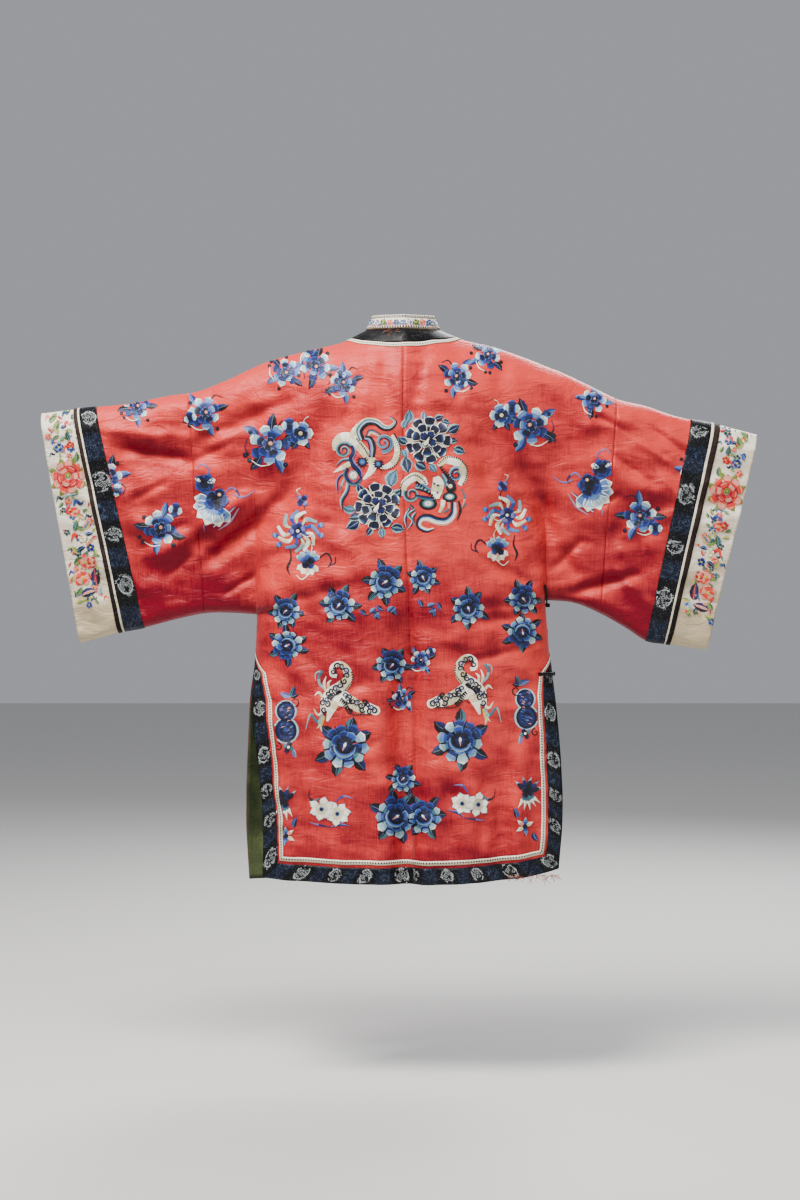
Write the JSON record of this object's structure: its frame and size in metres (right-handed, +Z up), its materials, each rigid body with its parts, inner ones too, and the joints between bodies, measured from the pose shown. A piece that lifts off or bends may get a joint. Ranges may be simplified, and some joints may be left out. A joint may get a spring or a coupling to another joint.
{
  "type": "wide-sleeved silk jacket",
  "caption": "Hip-length silk jacket with wide sleeves, standing collar, side slits and a side-fastening front, hanging open-bodied as it is worn.",
  "frame": {"origin": "middle of the neck opening at the level of its sides, where the wearer's neck and shoulders hold the jacket up", "axes": "+X to the wearer's left, +Y to the back, +Z up; the front faces -Y"},
  "size_m": [1.353, 0.2519, 1.0713],
  "materials": {
    "red_silk": "satin",
    "green_lining": "plain weave",
    "dark_satin": "satin",
    "blue_brocade": "figured satin",
    "cream_ribbon": "woven ribbon",
    "ivory_silk": "satin with silk embroidery",
    "dark_braid": "braided",
    "black_cord": "rolled cloth"
  },
  "bodies": {
    "root": {"body_left": "red_silk", "body_right": "red_silk", "front_flap": "red_silk", "sleeve_left": "red_silk", "sleeve_right": "red_silk", "front_lining": "green_lining", "sleeve_band_left": "ivory_silk", "sleeve_band_right": "ivory_silk", "collar": "ivory_silk", "neck_border": "dark_satin", "border_back_left": "blue_brocade", "border_back_right": "blue_brocade", "border_front_left": "blue_brocade", "flap_border": "blue_brocade", "sleeve_strip_left": "blue_brocade", "sleeve_strip_right": "blue_brocade", "neck_ribbon": "cream_ribbon", "ribbon_back_left": "cream_ribbon", "ribbon_back_right": "cream_ribbon", "ribbon_front_left": "cream_ribbon", "flap_ribbon": "cream_ribbon", "sleeve_cord_left": "cream_ribbon", "sleeve_cord_right": "cream_ribbon", "collar_trim_top": "cream_ribbon", "collar_trim_base": "cream_ribbon", "sleeve_braid_left": "dark_braid", "sleeve_braid_right": "dark_braid", "chest_strap": "black_cord", "chest_knot": "black_cord", "chest_loop": "black_cord", "armpit_strap": "black_cord", "armpit_knot": "black_cord", "armpit_loop": "black_cord", "slit_strap": "black_cord", "slit_knot": "black_cord", "slit_loop": "black_cord", "collar_knot": "black_cord", "collar_strap": "black_cord", "collar_loop": "black_cord"}
  },
  "joints": []
}
